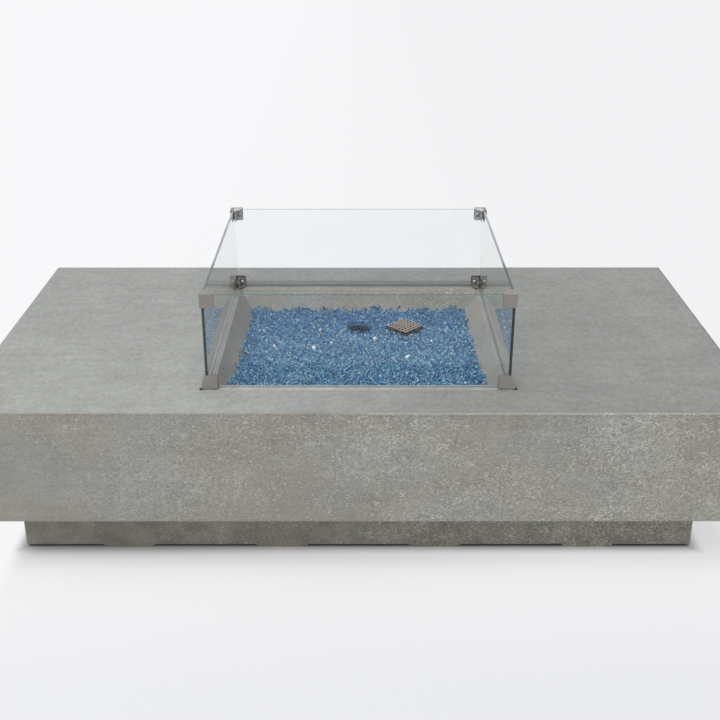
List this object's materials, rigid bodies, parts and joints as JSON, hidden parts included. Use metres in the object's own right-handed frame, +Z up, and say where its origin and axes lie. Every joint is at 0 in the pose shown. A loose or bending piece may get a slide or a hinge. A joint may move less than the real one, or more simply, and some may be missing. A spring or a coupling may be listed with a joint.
{
  "type": "fire pit table",
  "caption": "Low rectangular cast-concrete fire pit table on an inset plinth, with a sunken gas burner under crushed glass, a lift-off glass wind guard and a control niche in one end.",
  "frame": {"origin": "on the floor under the middle of the table", "axes": "+X along the table's length, -Y its front, +Z up"},
  "size_m": [1.524, 0.813, 0.5435],
  "materials": {
    "concrete_shell": "smooth cast concrete, fine pits, sealed matt",
    "concrete_plinth": "cast concrete, fine pits, sealed matt",
    "glass_guard": "clear tempered glass with polished green edges",
    "bracket_steel": "brushed, warm grey",
    "screw_steel": "plain stainless steel",
    "black_rubber": "matt black rubber",
    "liner_rubber": "grey silicone rubber",
    "fire_glass": "crushed blue glass, sparkling",
    "pan_steel": "stainless sheet",
    "burner_steel": "stainless tube, heat tinted",
    "cage_mesh": "square steel mesh, bronze heat tint",
    "brass": "machined brass",
    "panel_steel": "brushed stainless sheet",
    "zinc_steel": "bright zinc plate",
    "black_plastic": "moulded matt black",
    "valve_alloy": "die-cast, bead blasted",
    "ceramic_white": "glazed alumina",
    "copper_lead": "drawn copper",
    "tube_aluminium": "drawn tube",
    "hose_coat": "yellow coated flexible connector",
    "lead_silicone": "high temperature silicone",
    "battery_foil": "plain sleeve"
  },
  "bodies": {
    "table": {"table_shell": "concrete_shell", "base_plinth": "concrete_plinth", "plinth_inserts": "zinc_steel", "plinth_bolts": "zinc_steel", "plinth_washers": "zinc_steel", "burner_pan": "pan_steel", "burner_tube": "burner_steel", "burner_stand_front": "pan_steel", "burner_stand_back": "pan_steel", "burner_screws": "screw_steel", "air_mixer": "brass", "mixer_locknut": "brass", "orifice_elbow": "brass", "orifice_jet": "brass", "pilot_bracket": "pan_steel", "pilot_screws": "screw_steel", "pilot_burner": "screw_steel", "thermocouple": "copper_lead", "electrode_insulator": "ceramic_white", "electrode_rod": "screw_steel", "fire_glass_bed": "fire_glass", "control_panel": "panel_steel", "panel_screws": "screw_steel", "valve_body": "valve_alloy", "valve_neck_nut": "zinc_steel", "valve_spring": "screw_steel", "igniter_body": "black_plastic", "igniter_bezel": "black_plastic", "igniter_battery": "battery_foil", "igniter_spring": "screw_steel", "inlet_fitting": "brass", "inlet_locknut": "brass", "supply_hose": "hose_coat", "feed_pipe": "tube_aluminium", "pilot_tube": "tube_aluminium", "gas_line_nuts": "brass", "thermocouple_lead": "copper_lead", "ignition_lead": "lead_silicone"},
    "guard": {"guard_glass_left": "glass_guard", "guard_glass_right": "glass_guard", "guard_glass_front": "glass_guard", "guard_glass_back": "glass_guard", "guard_screws": "screw_steel", "guard_pads": "liner_rubber", "guard_liners": "liner_rubber", "guard_feet": "black_rubber", "guard_bracket_upper_front_left": "bracket_steel", "guard_bracket_upper_front_right": "bracket_steel", "guard_bracket_upper_back_left": "bracket_steel", "guard_bracket_upper_back_right": "bracket_steel", "guard_bracket_lower_front_left": "bracket_steel", "guard_bracket_lower_front_right": "bracket_steel", "guard_bracket_lower_back_left": "bracket_steel", "guard_bracket_lower_back_right": "bracket_steel"},
    "cage": {"pilot_cage": "cage_mesh"},
    "push": {"valve_spring_cup": "brass"},
    "knob": {"valve_stem": "screw_steel", "control_knob": "black_plastic"},
    "button": {"igniter_button": "black_plastic"}
  },
  "joints": [
    {"name": "guard_lift", "type": "slide", "parent": "table", "child": "guard", "axis": [0, 0, 1], "range_m": [0, 0.25]},
    {"name": "cage_lift", "type": "slide", "parent": "table", "child": "cage", "axis": [0, 0, 1], "range_m": [0, 0.15]},
    {"name": "knob_push", "type": "slide", "parent": "table", "child": "push", "axis": [1, 0, 0], "range_m": [0, 0.0035], "stiffness_N_per_m": 1200, "springref_m": -0.004, "deforming": ["valve_spring"]},
    {"name": "knob_turn", "type": "hinge", "parent": "push", "child": "knob", "pos_m": [-0.745, -0.045, 0.232], "axis": [-1, 0, 0], "range_deg": [0, 210]},
    {"name": "igniter_push", "type": "slide", "parent": "table", "child": "button", "axis": [1, 0, 0], "range_m": [0, 0.004], "stiffness_N_per_m": 800, "springref_m": -0.004, "deforming": ["igniter_spring"]}
  ]
}
